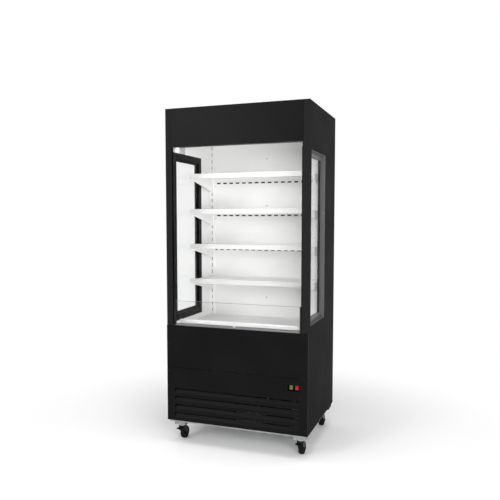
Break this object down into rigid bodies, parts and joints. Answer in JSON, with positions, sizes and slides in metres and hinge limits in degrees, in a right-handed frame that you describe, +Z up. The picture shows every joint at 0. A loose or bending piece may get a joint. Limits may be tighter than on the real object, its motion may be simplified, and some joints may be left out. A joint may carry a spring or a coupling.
{
  "type": "open multideck display fridge",
  "caption": "Upright open-front display fridge with side windows, hung shelves, a low glass screen, a louvred machine compartment and swivel casters.",
  "frame": {"origin": "middle of the footprint on the floor", "axes": "+X to the right seen from the front, +Y from the open front to the back, +Z up"},
  "size_m": [0.88, 0.678, 2.02],
  "materials": {
    "black_panel": "satin powder coat",
    "white_panel": "satin powder coat",
    "grey_panel": "satin powder coat",
    "black_trim": "matt",
    "black_moulding": "semi-gloss",
    "clear_glass": "clear",
    "insulation": "cut foam",
    "galvanised": "galvanised",
    "zinc": "bright zinc",
    "wheel": "matt",
    "screw_metal": "zinc",
    "black_steel": "black",
    "green_key": "translucent",
    "red_key": "translucent",
    "light_cover": "frosted",
    "coil_fins": "mill",
    "copper": "drawn copper",
    "compressor_paint": "gloss",
    "fan_plastic": "moulded"
  },
  "bodies": {
    "cabinet": {"base_frame": "galvanised", "rear_pads": "black_trim", "caster_plates": "zinc", "left_side_skin": "black_panel", "right_side_skin": "black_panel", "wall_insulation": "insulation", "side_liners": "white_panel", "left_window_frame": "black_trim", "right_window_frame": "black_trim", "side_window_glass": "clear_glass", "roof_panel": "black_panel", "back_panel": "black_panel", "well_tub": "white_panel", "ceiling_liner": "white_panel", "header_fascia": "black_panel", "lamp_housing": "grey_panel", "light_bar": "light_cover", "discharge_grille": "white_panel", "rear_duct_panel": "white_panel", "uprights": "white_panel", "shelf_1": "white_panel", "shelf_2": "white_panel", "shelf_3": "white_panel", "shelf_4": "white_panel", "price_rails": "white_panel", "shelf_brackets": "white_panel", "deck_pan": "white_panel", "front_nosing": "white_panel", "return_grille": "grey_panel", "glass_channel": "grey_panel", "front_glass": "clear_glass", "glass_brackets": "black_trim", "upper_front_panel": "black_panel", "lower_front_panel": "black_panel", "panel_screws": "screw_metal", "switch_plate": "black_moulding", "control_box": "galvanised", "fan_plate": "galvanised", "evaporator_coil": "coil_fins", "condenser_coil": "coil_fins", "condenser_shroud": "galvanised", "compressor": "compressor_paint", "refrigerant_pipes": "copper", "water_tray": "black_trim", "rear_vent_cover": "galvanised", "cord_gland": "black_moulding"},
    "front_left_fork": {"front_left_caster_fork": "black_steel"},
    "front_left_wheel": {"front_left_caster_wheel": "wheel"},
    "front_right_fork": {"front_right_caster_fork": "black_steel"},
    "front_right_wheel": {"front_right_caster_wheel": "wheel"},
    "rear_left_fork": {"rear_left_caster_fork": "black_steel"},
    "rear_left_wheel": {"rear_left_caster_wheel": "wheel"},
    "rear_right_fork": {"rear_right_caster_fork": "black_steel"},
    "rear_right_wheel": {"rear_right_caster_wheel": "wheel"},
    "front_left_pedal": {"front_left_brake_pedal": "black_moulding"},
    "front_right_pedal": {"front_right_brake_pedal": "black_moulding"},
    "light_switch": {"light_rocker": "green_key"},
    "power_switch": {"power_rocker": "red_key"},
    "condenser_fan_rotor": {"condenser_fan": "fan_plastic"},
    "evaporator_fan_rotor": {"evaporator_fan": "fan_plastic"}
  },
  "joints": [
    {"name": "front_left_swivel", "type": "hinge", "parent": "cabinet", "child": "front_left_fork", "pos_m": [-0.38, -0.257, 0.09], "axis": [0, 0, 1], "continuous": true},
    {"name": "front_left_roll", "type": "hinge", "parent": "front_left_fork", "child": "front_left_wheel", "pos_m": [-0.38, -0.227, 0.0375], "axis": [1, 0, 0], "continuous": true},
    {"name": "front_right_swivel", "type": "hinge", "parent": "cabinet", "child": "front_right_fork", "pos_m": [0.38, -0.257, 0.09], "axis": [0, 0, 1], "continuous": true},
    {"name": "front_right_roll", "type": "hinge", "parent": "front_right_fork", "child": "front_right_wheel", "pos_m": [0.38, -0.227, 0.0375], "axis": [1, 0, 0], "continuous": true},
    {"name": "rear_left_swivel", "type": "hinge", "parent": "cabinet", "child": "rear_left_fork", "pos_m": [-0.38, 0.255, 0.09], "axis": [0, 0, 1], "continuous": true},
    {"name": "rear_left_roll", "type": "hinge", "parent": "rear_left_fork", "child": "rear_left_wheel", "pos_m": [-0.38, 0.285, 0.0375], "axis": [1, 0, 0], "continuous": true},
    {"name": "rear_right_swivel", "type": "hinge", "parent": "cabinet", "child": "rear_right_fork", "pos_m": [0.38, 0.255, 0.09], "axis": [0, 0, 1], "continuous": true},
    {"name": "rear_right_roll", "type": "hinge", "parent": "rear_right_fork", "child": "rear_right_wheel", "pos_m": [0.38, 0.285, 0.0375], "axis": [1, 0, 0], "continuous": true},
    {"name": "front_left_brake", "type": "hinge", "parent": "front_left_fork", "child": "front_left_pedal", "pos_m": [-0.38, -0.269, 0.074], "axis": [1, 0, 0], "range_deg": [0, 15]},
    {"name": "front_right_brake", "type": "hinge", "parent": "front_right_fork", "child": "front_right_pedal", "pos_m": [0.38, -0.269, 0.074], "axis": [1, 0, 0], "range_deg": [0, 15]},
    {"name": "light_switch_rock", "type": "hinge", "parent": "cabinet", "child": "light_switch", "pos_m": [0.3395, -0.32, 0.4175], "axis": [1, 0, 0], "range_deg": [0, 16]},
    {"name": "power_switch_rock", "type": "hinge", "parent": "cabinet", "child": "power_switch", "pos_m": [0.374, -0.32, 0.4175], "axis": [1, 0, 0], "range_deg": [0, 16]},
    {"name": "condenser_fan_spin", "type": "hinge", "parent": "cabinet", "child": "condenser_fan_rotor", "pos_m": [-0.18, -0.2393, 0.296], "axis": [0, 1, 0], "continuous": true},
    {"name": "evaporator_fan_spin", "type": "hinge", "parent": "cabinet", "child": "evaporator_fan_rotor", "pos_m": [0, -0.0727, 0.6184], "axis": [0, 1, 0], "continuous": true}
  ]
}
